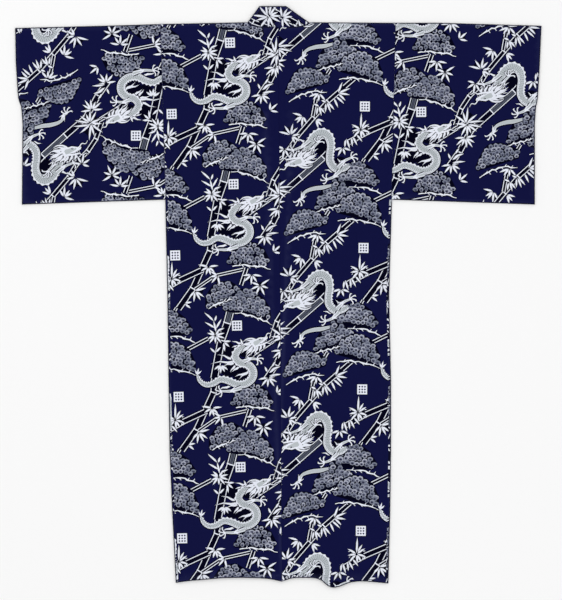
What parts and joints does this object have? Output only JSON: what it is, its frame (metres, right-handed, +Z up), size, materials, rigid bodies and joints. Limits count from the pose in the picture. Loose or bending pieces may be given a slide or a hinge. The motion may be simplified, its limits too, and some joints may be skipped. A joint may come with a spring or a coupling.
{
  "type": "kimono",
  "caption": "Unlined cotton kimono laid flat with its back up: straight sleeves, stand collar, fronts closed left over right underneath",
  "frame": {"origin": "centre of the laid garment's box, on the surface that it lies on", "axes": "+Z up, +Y towards the collar, -X towards the wearer's left"},
  "size_m": [1.3992, 1.5474, 0.0074],
  "materials": {
    "printed_cotton": "plain weave cotton, navy with a printed pattern in white and grey"
  },
  "bodies": {
    "root": {"body_left": "printed_cotton", "body_right": "printed_cotton", "sleeve_left": "printed_cotton", "sleeve_right": "printed_cotton", "overlap_left": "printed_cotton", "overlap_right": "printed_cotton", "collar": "printed_cotton"}
  },
  "joints": []
}
